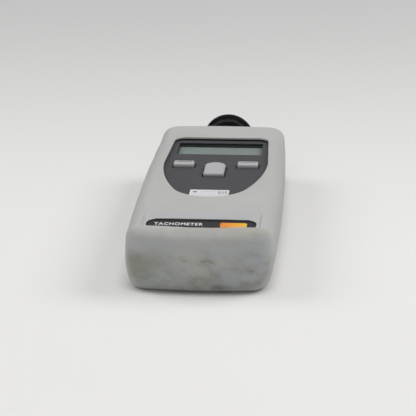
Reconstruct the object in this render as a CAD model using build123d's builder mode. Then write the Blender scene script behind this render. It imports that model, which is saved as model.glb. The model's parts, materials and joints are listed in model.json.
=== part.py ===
from build123d import *
import os
from math import atan2, cos, pi, sin

# Handheld tachometer in a rubber protective cover, lying on its back.
# All sizes are in millimetres. X is across, +Y runs from the near end (name plate) to the
# measuring wheel, +Z comes out of the face. The cover's back rim stands on Z = 0.

# ---------------------------------------------------------------- driving dimensions
overall_length = 203.0

cover_length = 176.0
cover_width = 73.0                # at the widest station of its bowed sides
cover_near_width = 70.2
cover_far_width = 68.6
cover_widest_station = 98.0
cover_near_bow = 2.4              # how far the middle of each end stands out of its corners
cover_far_bow = 1.8
cover_height = 32.5
cover_waist_z = 17.0
cover_top_inset = 0.7
cover_bottom_inset = 4.6
cover_near_radius = 8.0
cover_far_radius = 10.0
cover_top_radius = 5.5
cover_rim_radius = 1.5
back_half_width = 24.5            # opening in the cover's back
back_near = 9.5
back_far = 160.0
back_corner_radius = 6.0

housing_length = 167.0
housing_width = 62.0
housing_near = 3.5
housing_bottom_z = 2.5
housing_top_z = 30.3
parting_z = 16.5
housing_wall = 2.0
housing_near_radius = 8.0
housing_far_radius = 14.0
upper_draft = 2.0
lower_draft = 12.0

axis_z = 16.5                     # height of the spindle and of the sensor's optical axis

window_half_width = 27.0          # widest half-width of the shield-shaped face window
window_top_half_width = 25.3
window_waist = 107.0              # all distances below are measured from the near end
window_far = 150.0
window_near = 51.2
window_tip_radius = 19.5
window_corner_radius = 5.0

slot_half_width = 25.8            # opening in the cover over the name plate
slot_far = 22.5
slot_near = 7.4
slot_end_drop = 3.2
slot_near_radius = 3.6
slot_far_radius = 4.5
scoop_half_width = 28.0
scoop_far = 31.0
scoop_depth = 1.3

plate_width = 52.6                # name plate in its pocket, with a badge on it
plate_length = 17.6
plate_station = 15.0
plate_gap = 0.2
badge_width = 12.6
badge_length = 6.4
badge_x = 15.2
badge_station = 16.5

sticker_width = 19.6
sticker_length = 11.6
sticker_station = 61.2

label_width = 40.0                # rating label in the housing's back
label_length = 36.0
label_station = 118.0
label_gap = 0.5

display_half_width = 22.6
display_near = 125.4
display_far = 145.7

side_key_centre = 16.65
side_key_width = 10.7
side_key_near = 102.2
side_key_far = 108.5
side_key_radius = 0.9
measure_key_width = 10.6
measure_key_near = 87.8
measure_key_shoulder = 103.0
measure_key_far = 106.6
measure_key_radius = 1.2
key_top_z = 32.3
key_gap = 0.6                     # round each key, in openings with tighter corners
key_opening_radius = 0.7
key_flange = 1.0
key_flange_z = 26.9
key_flange_top_z = 28.1

board_bottom_z = 21.4
board_top_z = 23.0
board_half_width = 28.0
board_near = 74.0
board_far = 150.0
board_screw_x = 26.3
board_screw_stations = (80.0, 145.0)

housing_screw_x = 22.0
housing_screw_stations = (12.5, 160.0)

cell_radius = 7.25                # two AA cells
cell_length = 50.5
cell_x = 7.5
cell_z = 12.6
tray_near = 15.4
tray_far = 72.4
tray_half_width = 16.4
tray_wall = 1.2
tray_top_z = 21.1

lid_half_width = 16.6             # battery cover in the housing's back
lid_near = 13.4
lid_far = 74.0
lid_thickness = 2.0

nose_radius = 8.0
nose_bore_radius = 6.3
nose_near = 165.0
nose_far = 182.0

adapter_radius = 10.0
adapter_near = 177.2
adapter_shoulder = 184.8
adapter_far = 191.2
neck_radius = 6.2
socket_radius = 8.06
cavity_radius = 7.0

shaft_radius = 1.5
bush_radius = 3.6
running_gap = 0.05

wheel_radius = 14.4
wheel_near = 195.6
wheel_far = 200.6
hub_near = 192.4
hub_radius = 4.0
tyre_inner_radius = 11.4


def along(distance):
    """Y of a point at this distance from the near end of the cover."""
    return distance - overall_length / 2


def downward(height):
    """Horizontal plane that faces down, with Y kept as Y."""
    return Plane(origin=(0, 0, height), x_dir=(-1, 0, 0), z_dir=(0, 0, -1))


def across(distance, x=0.0, height=axis_z):
    """Upright plane across the instrument, facing +Y, with its second axis up."""
    return Plane(origin=(x, along(distance), height), x_dir=(-1, 0, 0), z_dir=(0, 1, 0))


def save(piece, label):
    piece.label = label
    export_step(piece, "parts/" + label + ".step")


def housing_outline(grow):
    """Plan of the housing at its parting line, with a tighter near end than far end."""
    with BuildSketch() as outline:
        with Locations((0, along(housing_near + housing_length / 2))):
            Rectangle(housing_width + 2 * grow, housing_length + 2 * grow)
        fillet(outline.vertices().group_by(Axis.Y)[0], housing_near_radius + grow)
        fillet(outline.vertices().group_by(Axis.Y)[-1], housing_far_radius + grow)
    return outline.sketch


def upper_housing_form(grow):
    """Front half of the housing's outer form, grown by a clearance."""
    with BuildPart() as form:
        with BuildSketch(Plane.XY.offset(parting_z)):
            add(housing_outline(grow))
        extrude(amount=housing_top_z + grow - parting_z, taper=upper_draft)
    return form.part


def lower_housing_form(grow):
    """Rear half of the housing's outer form, grown by a clearance."""
    with BuildPart() as form:
        with BuildSketch(downward(parting_z)):
            add(housing_outline(grow))
        extrude(amount=parting_z - housing_bottom_z + grow, taper=lower_draft)
    return form.part


def cover_outline(inset):
    """Plan of the cover: four bowed sides with rounded corners, set in from the waist."""
    near_half = cover_near_width / 2 - inset
    far_half = cover_far_width / 2 - inset
    near_y = along(cover_near_bow + inset)
    far_y = along(cover_length - cover_far_bow - inset)
    near_middle = (0, along(inset))
    far_middle = (0, along(cover_length - inset))
    side_y = along(cover_widest_station)
    half = cover_width / 2 - inset
    with BuildSketch() as outline:
        with BuildLine():
            ThreePointArc((-near_half, near_y), near_middle, (near_half, near_y))
            ThreePointArc((near_half, near_y), (half, side_y), (far_half, far_y))
            ThreePointArc((far_half, far_y), far_middle, (-far_half, far_y))
            ThreePointArc((-far_half, far_y), (-half, side_y), (-near_half, near_y))
        make_face()
        fillet(outline.vertices().sort_by(Axis.Y)[:2], cover_near_radius - inset)
        fillet(outline.vertices().sort_by(Axis.Y)[-2:], cover_far_radius - inset)
    return outline.sketch


def shield_outline():
    """Face window: straight far edge, flared sides, and a blunt round tip at the near end."""
    tip_centre = along(window_near) + window_tip_radius
    rise = along(window_waist) - tip_centre
    flank_radius = (rise**2 + window_half_width**2 - window_tip_radius**2) / (
        2 * (window_half_width - window_tip_radius)
    )
    flank_x = window_half_width - flank_radius
    angle = atan2(-rise, -flank_x)
    join_x = window_tip_radius * cos(angle)
    join_y = tip_centre + window_tip_radius * sin(angle)
    middle_x = flank_x + flank_radius * cos(angle / 2)
    middle_y = along(window_waist) + flank_radius * sin(angle / 2)
    waist_x = window_half_width
    waist_y = along(window_waist)
    far_x = window_top_half_width
    far_y = along(window_far)
    with BuildSketch() as outline:
        with BuildLine():
            Line((-far_x, far_y), (far_x, far_y))
            Line((far_x, far_y), (waist_x, waist_y))
            ThreePointArc((waist_x, waist_y), (middle_x, middle_y), (join_x, join_y))
            ThreePointArc((join_x, join_y), (0, along(window_near)), (-join_x, join_y))
            ThreePointArc((-join_x, join_y), (-middle_x, middle_y), (-waist_x, waist_y))
            Line((-waist_x, waist_y), (-far_x, far_y))
        make_face()
        fillet(outline.vertices().group_by(Axis.Y)[-1], window_corner_radius)
    return outline.sketch


def slot_outline():
    """Opening over the name plate: straight far edge and a bowed near edge."""
    half = slot_half_width
    end_y = along(slot_near + slot_end_drop)
    far_y = along(slot_far)
    with BuildSketch() as outline:
        with BuildLine():
            ThreePointArc((-half, end_y), (0, along(slot_near)), (half, end_y))
            Polyline((half, end_y), (half, far_y), (-half, far_y), (-half, end_y))
        make_face()
        fillet(outline.vertices().group_by(Axis.Y)[0], slot_near_radius)
        fillet(outline.vertices().group_by(Axis.Y)[-1], slot_far_radius)
    return outline.sketch


def measure_key_outline(grow, radius):
    """Centre key: straight near end and a low arched far end."""
    half = measure_key_width / 2 + grow
    near_y = along(measure_key_near) - grow
    shoulder_y = along(measure_key_shoulder)
    far_y = along(measure_key_far) + grow
    with BuildSketch() as outline:
        with BuildLine():
            Polyline((-half, shoulder_y), (-half, near_y), (half, near_y), (half, shoulder_y))
            ThreePointArc((half, shoulder_y), (0, far_y), (-half, shoulder_y))
        make_face()
        fillet(outline.vertices(), radius)
    return outline.sketch


def side_key_outline(x, grow, radius):
    """Side key: a plain rounded bar across the face."""
    length = side_key_far - side_key_near
    with BuildSketch() as outline:
        with Locations((x, along(side_key_near + length / 2))):
            RectangleRounded(side_key_width + 2 * grow, length + 2 * grow, radius)
    return outline.sketch


os.makedirs("parts", exist_ok=True)

# ---------------------------------------------------------------- protective cover
# A rubber boot that is pulled over the housing, open at the back inside a rim.
cavity_gap = 0.1
upper_cavity = upper_housing_form(cavity_gap)
lower_cavity = lower_housing_form(cavity_gap)
with BuildPart() as protective_cover:
    sections = ((0, cover_bottom_inset), (cover_waist_z, 0), (cover_height, cover_top_inset))
    for height, inset in sections:
        with BuildSketch(Plane.XY.offset(height)):
            add(cover_outline(inset))
    loft(ruled=True)
    fillet(protective_cover.faces().sort_by(Axis.Z)[-1].edges(), cover_top_radius)
    fillet(protective_cover.faces().sort_by(Axis.Z)[0].edges(), cover_rim_radius)

    add(upper_cavity, mode=Mode.SUBTRACT)
    add(lower_cavity, mode=Mode.SUBTRACT)

    with BuildSketch(Plane.XY.offset(housing_top_z - 0.5)):
        add(shield_outline())
    extrude(amount=10, mode=Mode.SUBTRACT)

    with BuildSketch(Plane.XY.offset(housing_top_z - 0.5)):
        add(slot_outline())
    extrude(amount=10, mode=Mode.SUBTRACT)

    # scoop that slopes down to the name plate
    with BuildSketch(Plane.YZ.offset(-scoop_half_width)):
        with BuildLine():
            Polyline(
                (along(scoop_far), cover_height),
                (along(slot_far), cover_height - scoop_depth),
                (along(slot_near + 4), cover_height - scoop_depth),
                (along(slot_near + 1), cover_height + 1),
                (along(scoop_far), cover_height + 1),
                close=True,
            )
        make_face()
    extrude(amount=2 * scoop_half_width, mode=Mode.SUBTRACT)

    # opening in the back, over the battery cover and the rating label
    with BuildSketch(Plane.XY):
        with Locations((0, along((back_near + back_far) / 2))):
            RectangleRounded(2 * back_half_width, back_far - back_near, back_corner_radius)
    extrude(amount=housing_bottom_z + 0.5, mode=Mode.SUBTRACT)

    # hole for the nose in the far wall
    with BuildSketch(across(cover_length - 8)):
        Circle(nose_radius + 0.5)
    extrude(amount=20, mode=Mode.SUBTRACT)
save(protective_cover.part, "protective_cover")

# ---------------------------------------------------------------- front shell
upper_form = upper_housing_form(0)
with BuildPart() as front_shell:
    add(upper_form)
    fillet(front_shell.faces().sort_by(Axis.Z)[-1].edges(), 2.0)
    with BuildSketch(Plane.XY.offset(parting_z)):
        add(housing_outline(-housing_wall))
    extrude(amount=housing_top_z - housing_wall - parting_z, taper=upper_draft, mode=Mode.SUBTRACT)

    # screw bosses for the rear shell
    with BuildSketch(Plane.XY.offset(parting_z)):
        for station in housing_screw_stations:
            with Locations((-housing_screw_x, along(station)), (housing_screw_x, along(station))):
                Circle(3.2)
    extrude(amount=housing_top_z - 1 - parting_z)

    # shorter bosses that carry the main board
    with BuildSketch(Plane.XY.offset(board_top_z)):
        for station in board_screw_stations:
            with Locations((-board_screw_x, along(station)), (board_screw_x, along(station))):
                Circle(2.2)
    extrude(amount=housing_top_z - 1 - board_top_z)

    with BuildSketch(Plane.XY.offset(parting_z)):
        for station in housing_screw_stations:
            with Locations((-housing_screw_x, along(station)), (housing_screw_x, along(station))):
                Circle(1.25)
    extrude(amount=8.5, mode=Mode.SUBTRACT)
    with BuildSketch(Plane.XY.offset(board_top_z)):
        for station in board_screw_stations:
            with Locations((-board_screw_x, along(station)), (board_screw_x, along(station))):
                Circle(0.85)
    extrude(amount=4.5, mode=Mode.SUBTRACT)

    # display window, key openings and name plate pocket
    with BuildSketch(Plane.XY.offset(housing_top_z - 4)):
        with Locations((0, along((display_near + display_far) / 2))):
            RectangleRounded(2 * display_half_width, display_far - display_near, 0.8)
    extrude(amount=8, mode=Mode.SUBTRACT)
    with BuildSketch(Plane.XY.offset(housing_top_z - 4)):
        add(measure_key_outline(key_gap, key_opening_radius))
    extrude(amount=8, mode=Mode.SUBTRACT)
    with BuildSketch(Plane.XY.offset(housing_top_z - 4)):
        add(side_key_outline(-side_key_centre, key_gap, key_opening_radius))
        add(side_key_outline(side_key_centre, key_gap, key_opening_radius))
    extrude(amount=8, mode=Mode.SUBTRACT)
    with BuildSketch(Plane.XY.offset(housing_top_z - 0.5)):
        with Locations((0, along(plate_station))):
            RectangleRounded(plate_width + 2 * plate_gap, plate_length + 2 * plate_gap, 3)
    extrude(amount=2, mode=Mode.SUBTRACT)

    # half of the round seat for the nose
    with BuildSketch(across(housing_near + housing_length - 6)):
        Circle(nose_radius)
    extrude(amount=12, mode=Mode.SUBTRACT)
save(front_shell.part, "front_shell")

# ---------------------------------------------------------------- rear shell
lower_form = lower_housing_form(0)
with BuildPart() as rear_shell:
    add(lower_form)
    fillet(rear_shell.faces().sort_by(Axis.Z)[0].edges(), 1.0)
    with BuildSketch(downward(parting_z)):
        add(housing_outline(-housing_wall))
    extrude(
        amount=parting_z - housing_bottom_z - housing_wall, taper=lower_draft, mode=Mode.SUBTRACT
    )

    with BuildSketch(Plane.XY.offset(housing_bottom_z + 1)):
        for station in housing_screw_stations:
            with Locations((-housing_screw_x, along(station)), (housing_screw_x, along(station))):
                Circle(3.8)
    extrude(amount=parting_z - housing_bottom_z - 1)
    with BuildSketch(Plane.XY.offset(housing_bottom_z)):
        for station in housing_screw_stations:
            with Locations((-housing_screw_x, along(station)), (housing_screw_x, along(station))):
                Circle(1.6)
    extrude(amount=20, mode=Mode.SUBTRACT)
    with BuildSketch(Plane.XY.offset(housing_bottom_z - 1)):
        for station in housing_screw_stations:
            with Locations((-housing_screw_x, along(station)), (housing_screw_x, along(station))):
                Circle(3.0)
    extrude(amount=4.5, mode=Mode.SUBTRACT)

    # opening for the battery cover, with a slot for its two tabs
    with BuildSketch(Plane.XY.offset(housing_bottom_z - 1)):
        with Locations((0, along((lid_near + lid_far) / 2))):
            Rectangle(2 * lid_half_width + 0.6, lid_far - lid_near + 0.8)
    extrude(amount=8, mode=Mode.SUBTRACT)

    # pocket for the rating label
    with BuildSketch(Plane.XY.offset(housing_bottom_z - 1)):
        with Locations((0, along(label_station))):
            RectangleRounded(label_width + 2 * label_gap, label_length + 2 * label_gap, 1.5)
    extrude(amount=1.4, mode=Mode.SUBTRACT)

    with BuildSketch(across(housing_near + housing_length - 6)):
        Circle(nose_radius)
    extrude(amount=12, mode=Mode.SUBTRACT)
save(rear_shell.part, "rear_shell")

# ---------------------------------------------------------------- battery cover
# Two tabs at the near end hook inside the shell, and it swings about its near lower edge.
with BuildPart() as battery_cover:
    with BuildSketch(Plane.XY.offset(housing_bottom_z)):
        with Locations((0, along((lid_near + lid_far) / 2))):
            RectangleRounded(2 * lid_half_width, lid_far - lid_near, 1.0)
    extrude(amount=lid_thickness)
    with BuildSketch(Plane.XY.offset(housing_bottom_z + lid_thickness)):
        with Locations((-9, along(lid_near + 0.2)), (9, along(lid_near + 0.2))):
            Rectangle(6, 3.2)
        with Locations((0, along(lid_far - 0.4))):
            Rectangle(10, 1.2)
    extrude(amount=1.0)
    # thumb groove and five grip ribs between its sides
    with BuildSketch(Plane.XY.offset(housing_bottom_z)):
        with Locations((0, along(lid_far - 11))):
            SlotOverall(18, 10)
    extrude(amount=0.8, mode=Mode.SUBTRACT)
    with BuildSketch(Plane.XY.offset(housing_bottom_z + 0.1)):
        for row in range(-2, 3):
            with Locations((0, along(lid_far - 11 + 1.8 * row))):
                Rectangle(9, 0.7)
    extrude(amount=0.8)
save(battery_cover.part, "battery_cover")

# ---------------------------------------------------------------- housing screws
with BuildPart() as housing_screws:
    head_z = housing_bottom_z + 1.5
    with BuildSketch(Plane.XY.offset(head_z)):
        for station in housing_screw_stations:
            with Locations((-housing_screw_x, along(station)), (housing_screw_x, along(station))):
                Circle(2.7)
    extrude(amount=2.0)
    with BuildSketch(Plane.XY.offset(head_z + 2.0)):
        for station in housing_screw_stations:
            with Locations((-housing_screw_x, along(station)), (housing_screw_x, along(station))):
                Circle(1.2)
    extrude(amount=17)
    # cross recesses
    with BuildSketch(Plane.XY.offset(head_z)):
        for station in housing_screw_stations:
            with Locations((-housing_screw_x, along(station)), (housing_screw_x, along(station))):
                Rectangle(2.8, 0.7)
                Rectangle(0.7, 2.8)
    extrude(amount=1.2, mode=Mode.SUBTRACT)
save(housing_screws.part, "housing_screws")

# ---------------------------------------------------------------- plates and stickers
with BuildPart() as name_plate:
    with BuildSketch(Plane.XY.offset(housing_top_z - 0.5)):
        with Locations((0, along(plate_station))):
            RectangleRounded(plate_width, plate_length, 2.8)
    extrude(amount=0.4)
save(name_plate.part, "name_plate")

with BuildPart() as name_badge:
    with BuildSketch(Plane.XY.offset(housing_top_z - 0.1)):
        with Locations((badge_x, along(badge_station))):
            RectangleRounded(badge_width, badge_length, 1.4)
    extrude(amount=0.12)
save(name_badge.part, "name_badge")

with BuildPart() as asset_sticker:
    with BuildSketch(Plane.XY.offset(housing_top_z)):
        with Locations((0, along(sticker_station))):
            RectangleRounded(sticker_width, sticker_length, 0.6)
    extrude(amount=0.12)
save(asset_sticker.part, "asset_sticker")

with BuildPart() as rating_label:
    with BuildSketch(Plane.XY.offset(housing_bottom_z + 0.25)):
        with Locations((0, along(label_station))):
            RectangleRounded(label_width, label_length, 1.2)
    extrude(amount=0.15)
save(rating_label.part, "rating_label")

# ---------------------------------------------------------------- display
display_mid = (display_near + display_far) / 2
window_bottom_z = 27.9
window_pane_z = 29.2
pane_gap = 0.1
glass_gap = 0.05                  # under the window
glass_bottom_z = 25.7

with BuildPart() as display_window:
    with BuildSketch(Plane.XY.offset(window_bottom_z)):
        with Locations((0, along(display_mid))):
            RectangleRounded(48, 25.4, 1.0)
    extrude(amount=housing_top_z - housing_wall - window_bottom_z)
    # raised pane that stands in the opening
    pane_width = 2 * (display_half_width - pane_gap)
    pane_length = display_far - display_near - 2 * pane_gap
    with BuildSketch(Plane.XY.offset(housing_top_z - housing_wall)):
        with Locations((0, along(display_mid))):
            RectangleRounded(pane_width, pane_length, 0.7)
    extrude(amount=window_pane_z - housing_top_z + housing_wall)
save(display_window.part, "display_window")

with BuildPart() as lcd_glass:
    with BuildSketch(Plane.XY.offset(glass_bottom_z)):
        with Locations((0, along(display_mid))):
            Rectangle(45.6, 23.6)
    extrude(amount=window_bottom_z - glass_gap - glass_bottom_z)
save(lcd_glass.part, "lcd_glass")

with BuildPart() as display_frame:
    with BuildSketch(Plane.XY.offset(board_top_z)):
        with Locations((0, along(display_mid))):
            Rectangle(48, 26)
            Rectangle(46, 24, mode=Mode.SUBTRACT)
    extrude(amount=window_bottom_z - board_top_z)
save(display_frame.part, "display_frame")

with BuildPart() as elastomer_strips:
    with BuildSketch(Plane.XY.offset(board_top_z)):
        with Locations((0, along(display_mid - 10.4)), (0, along(display_mid + 10.4))):
            Rectangle(44, 2.0)
    extrude(amount=glass_bottom_z - board_top_z)
save(elastomer_strips.part, "elastomer_strips")

# ---------------------------------------------------------------- main board
with BuildPart() as main_board:
    with BuildSketch(Plane.XY.offset(board_bottom_z)):
        with Locations((0, along((board_near + board_far) / 2))):
            RectangleRounded(2 * board_half_width, board_far - board_near, 1.5)
        for station in board_screw_stations:
            with Locations((-board_screw_x, along(station)), (board_screw_x, along(station))):
                Circle(1.1, mode=Mode.SUBTRACT)
    extrude(amount=board_top_z - board_bottom_z)
save(main_board.part, "main_board")

with BuildPart() as board_chips:
    with BuildSketch(downward(board_bottom_z)):
        with Locations((0, along(112))):
            Rectangle(14, 14)
        with Locations((14, along(92)), (-14, along(92))):
            Rectangle(6, 10)
    extrude(amount=1.6)
save(board_chips.part, "board_chips")

with BuildPart() as board_passives:
    with BuildSketch(downward(board_bottom_z)):
        with Locations((0, along(134))):
            with GridLocations(5, 4, 6, 3):
                Rectangle(2.0, 1.25)
    extrude(amount=0.7)
    with BuildSketch(downward(board_bottom_z)):
        with Locations((-21, along(112)), (21, along(112))):
            Circle(3.1)
    extrude(amount=7)
save(board_passives.part, "board_passives")

with BuildPart() as board_screws:
    with BuildSketch(downward(board_bottom_z)):
        for station in board_screw_stations:
            with Locations((-board_screw_x, along(station)), (board_screw_x, along(station))):
                Circle(1.7)
    extrude(amount=1.2)
    with BuildSketch(Plane.XY.offset(board_bottom_z)):
        for station in board_screw_stations:
            with Locations((-board_screw_x, along(station)), (board_screw_x, along(station))):
                Circle(0.8)
    extrude(amount=5.5)
save(board_screws.part, "board_screws")

# ---------------------------------------------------------------- keys
with BuildPart() as measure_key:
    with BuildSketch(Plane.XY.offset(key_flange_z)):
        add(measure_key_outline(key_flange, measure_key_radius + key_flange))
    extrude(amount=key_flange_top_z - key_flange_z)
    with BuildSketch(Plane.XY.offset(key_flange_top_z)):
        add(measure_key_outline(0, measure_key_radius))
    extrude(amount=key_top_z - key_flange_top_z)
    fillet(measure_key.faces().sort_by(Axis.Z)[-1].edges(), 0.9)
save(measure_key.part, "measure_key")


def make_side_key(label, x):
    """Side key with softened edges and a groove across it."""
    with BuildPart() as key:
        with BuildSketch(Plane.XY.offset(key_flange_z)):
            add(side_key_outline(x, key_flange, side_key_radius + key_flange))
        extrude(amount=key_flange_top_z - key_flange_z)
        with BuildSketch(Plane.XY.offset(key_flange_top_z)):
            add(side_key_outline(x, 0, side_key_radius))
        extrude(amount=key_top_z - key_flange_top_z)
        fillet(key.faces().sort_by(Axis.Z)[-1].edges(), 0.7)
        with BuildSketch(Plane.XY.offset(key_top_z - 0.35)):
            with Locations((x, along(side_key_far - 2.0))):
                SlotOverall(side_key_width - 2.6, 0.9)
        extrude(amount=1, mode=Mode.SUBTRACT)
    save(key.part, label)


make_side_key("left_key", -side_key_centre)
make_side_key("right_key", side_key_centre)


def make_dome(label, x, distance):
    """Silicone dome that springs a key back, a hollow cone on the main board."""
    with BuildPart() as dome:
        with BuildSketch(Plane.XZ):
            with BuildLine():
                Polyline(
                    (2.9, board_top_z),
                    (2.9, board_top_z + 0.8),
                    (1.7, key_flange_z),
                    (0, key_flange_z),
                    (0, key_flange_z - 0.9),
                    (1.1, key_flange_z - 0.9),
                    (2.2, board_top_z),
                    close=True,
                )
            make_face()
        revolve(axis=Axis.Z)
    placed = dome.part.moved(Location((x, along(distance), 0)))
    save(placed, label)


side_key_mid = (side_key_near + side_key_far) / 2
make_dome("left_dome", -side_key_centre, side_key_mid)
make_dome("measure_dome", 0, 97)
make_dome("right_dome", side_key_centre, side_key_mid)

# ---------------------------------------------------------------- battery bay
with BuildPart() as battery_tray:
    tray_mid = (tray_near + tray_far) / 2
    tray_floor_z = housing_bottom_z + lid_thickness + 1.2
    with BuildSketch(Plane.XY.offset(tray_floor_z)):
        with Locations((0, along(tray_mid))):
            Rectangle(2 * tray_half_width, tray_far - tray_near)
    extrude(amount=tray_top_z - tray_floor_z)
    with BuildSketch(Plane.XY.offset(tray_floor_z)):
        with Locations((0, along(tray_mid))):
            Rectangle(2 * (tray_half_width - tray_wall), tray_far - tray_near - 2 * tray_wall)
    extrude(amount=tray_top_z - tray_wall - tray_floor_z, mode=Mode.SUBTRACT)
save(battery_tray.part, "battery_tray")

plate_thickness = 0.4
cell_near = tray_near + tray_wall + 4.1 - plate_thickness
cell_far = cell_near + cell_length


def make_cell(label, x, turned):
    """AA cell: can with a raised positive cap at one end."""
    cap_height = 1.4
    can_near = cell_near + (cap_height if turned else 0)
    with BuildPart() as cell:
        with BuildSketch(across(can_near, x, cell_z)):
            Circle(cell_radius)
        extrude(amount=cell_length - cap_height)
        fillet(cell.edges(), 0.6)
        cap_near = cell_near if turned else can_near + cell_length - cap_height
        with BuildSketch(across(cap_near, x, cell_z)):
            Circle(2.7)
        extrude(amount=cap_height)
    save(cell.part, label)


make_cell("battery_cell_left", -cell_x, False)
make_cell("battery_cell_right", cell_x, False)

with BuildPart() as contact_plates:
    plate_near = tray_near + tray_wall
    plate_far = cell_far
    for station in (plate_near, plate_far):
        with BuildSketch(across(station, 0, cell_z)):
            with Locations((-cell_x, 0), (cell_x, 0)):
                Rectangle(11, 11)
        extrude(amount=plate_thickness)
    # link that joins the two near plates
    with BuildSketch(across(plate_near, 0, cell_z)):
        Rectangle(6, 3)
    extrude(amount=plate_thickness)
save(contact_plates.part, "contact_plates")

with BuildPart() as battery_springs:
    spring_near = plate_near + plate_thickness
    spring_gap = cell_near - spring_near
    wire = 0.35
    turns = 3
    for x in (-cell_x, cell_x):
        for turn in range(turns):
            distance = spring_near + wire + turn * (spring_gap - 2 * wire) / (turns - 1)
            ring = 3.6 - 0.8 * turn
            with Locations(Location((x, along(distance), cell_z), (90, 0, 0))):
                Torus(ring, wire)
        # rising legs that join the coils
        for side in (-1, 1):
            with BuildSketch(across(spring_near + wire, x, cell_z)):
                with Locations((side * 2.8, 0)):
                    Rectangle(2.2, 2 * wire)
            extrude(amount=spring_gap - 2 * wire)
save(battery_springs.part, "battery_springs")

# ---------------------------------------------------------------- sensor
sensor_board_near = 152.5
holder_near = sensor_board_near + 1.6
holder_far = 168.0

with BuildPart() as sensor_board:
    with BuildSketch(across(sensor_board_near)):
        Rectangle(20, 13)
    extrude(amount=holder_near - sensor_board_near)
save(sensor_board.part, "sensor_board")

with BuildPart() as sensor_header:
    with BuildSketch(across(board_far - 2.5, 0, board_bottom_z - 1.25)):
        Rectangle(12, 2.5)
    extrude(amount=sensor_board_near - board_far + 2.5)
save(sensor_header.part, "sensor_header")

with BuildPart() as sensor_holder:
    with BuildSketch(across(holder_near)):
        Circle(nose_bore_radius)
    extrude(amount=holder_far - holder_near)
    with BuildSketch(across(holder_near)):
        with Locations((-3, 0), (3, 0)):
            Circle(2.1)
    extrude(amount=holder_far - holder_near, mode=Mode.SUBTRACT)
save(sensor_holder.part, "sensor_holder")


def make_diode(label, x, length):
    """Round-nosed diode in one bore of the sensor holder."""
    with BuildPart() as diode:
        with BuildSketch(across(holder_near, x)):
            Circle(2.0)
        extrude(amount=length)
        fillet(diode.faces().sort_by(Axis.Y)[-1].edges(), 1.2)
    save(diode.part, label)


make_diode("emitter_led", -3, 6.0)
make_diode("photodiode", 3, 5.0)

with BuildPart() as sensor_lens:
    with BuildSketch(across(holder_far)):
        Circle(nose_bore_radius - 0.1)
    extrude(amount=1.4)
    with BuildSketch(across(holder_far + 1.4)):
        Circle(5.4)
    extrude(amount=1.4, taper=40)
save(sensor_lens.part, "sensor_lens")

with BuildPart() as nose_ring:
    with BuildSketch(across(nose_near)):
        Circle(nose_radius)
        Circle(nose_bore_radius, mode=Mode.SUBTRACT)
    extrude(amount=nose_far - nose_near)
    chamfer(nose_ring.faces().sort_by(Axis.Y)[-1].edges(), 0.4)
save(nose_ring.part, "nose_ring")

# ---------------------------------------------------------------- contact adapter
oring_station = 179.4
oring_minor = 0.5
oring_major = nose_radius + oring_minor + 0.03

with BuildPart() as adapter_body:
    with BuildSketch(across(adapter_near)):
        Circle(adapter_radius)
    extrude(amount=adapter_shoulder - adapter_near)
    with BuildSketch(across(adapter_shoulder)):
        Circle(neck_radius)
    extrude(amount=adapter_far - adapter_shoulder)
    chamfer(adapter_body.faces().sort_by(Axis.Y)[-1].edges(), 0.6)
    fillet(adapter_body.edges().filter_by(GeomType.CIRCLE).sort_by(SortBy.RADIUS)[-1], 0.8)
    with BuildSketch(across(adapter_near)):
        Circle(socket_radius)
    extrude(amount=nose_far + 0.3 - adapter_near, mode=Mode.SUBTRACT)
    with BuildSketch(across(nose_far + 0.3)):
        Circle(cavity_radius)
    extrude(amount=1.6, mode=Mode.SUBTRACT)
    with BuildSketch(across(adapter_near)):
        Circle(bush_radius)
    extrude(amount=adapter_far - adapter_near, mode=Mode.SUBTRACT)
    with BuildSketch(across(oring_station - oring_minor)):
        Circle(oring_major + oring_minor + 0.05)
    extrude(amount=2 * oring_minor, mode=Mode.SUBTRACT)
    # grip flutes round the sleeve
    flutes = 12
    for flute in range(flutes):
        angle = 2 * pi * flute / flutes
        x = (adapter_radius + 0.5) * cos(angle)
        rise = (adapter_radius + 0.5) * sin(angle)
        with BuildSketch(across(adapter_near + 1.2, x, axis_z + rise)):
            Circle(1.3)
        extrude(amount=adapter_shoulder - adapter_near - 2.4, mode=Mode.SUBTRACT)
save(adapter_body.part, "adapter_body")

with BuildPart() as socket_oring:
    with Locations(Location((0, along(oring_station), axis_z), (90, 0, 0))):
        Torus(oring_major, oring_minor - 0.02)
save(socket_oring.part, "socket_oring")


def make_bush(label, distance, length):
    """Plain bearing bush pressed into the adapter's neck."""
    with BuildPart() as bush:
        with BuildSketch(across(distance)):
            Circle(bush_radius)
            Circle(shaft_radius + running_gap, mode=Mode.SUBTRACT)
        extrude(amount=length)
    save(bush.part, label)


make_bush("rear_bush", 184.4, 2.6)
make_bush("front_bush", 188.6, 2.6)

# ---------------------------------------------------------------- spindle
with BuildPart() as spindle_shaft:
    with BuildSketch(across(183.0)):
        Circle(shaft_radius)
    extrude(amount=18.2)
    chamfer(spindle_shaft.faces().sort_by(Axis.Y)[-1].edges(), 0.3)
save(spindle_shaft.part, "spindle_shaft")

with BuildPart() as reflector_disc:
    with BuildSketch(across(182.7)):
        Circle(6.4)
    extrude(amount=0.3)
    with BuildSketch(across(183.0)):
        Circle(6.4)
        Circle(shaft_radius, mode=Mode.SUBTRACT)
    extrude(amount=0.5)
save(reflector_disc.part, "reflector_disc")

with BuildPart() as retaining_clip:
    with BuildSketch(across(adapter_far + 0.2)):
        Circle(2.7)
        Circle(shaft_radius, mode=Mode.SUBTRACT)
        with Locations((0, -2.2)):
            Rectangle(1.6, 2.4, mode=Mode.SUBTRACT)
    extrude(amount=0.6)
save(retaining_clip.part, "retaining_clip")

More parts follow.
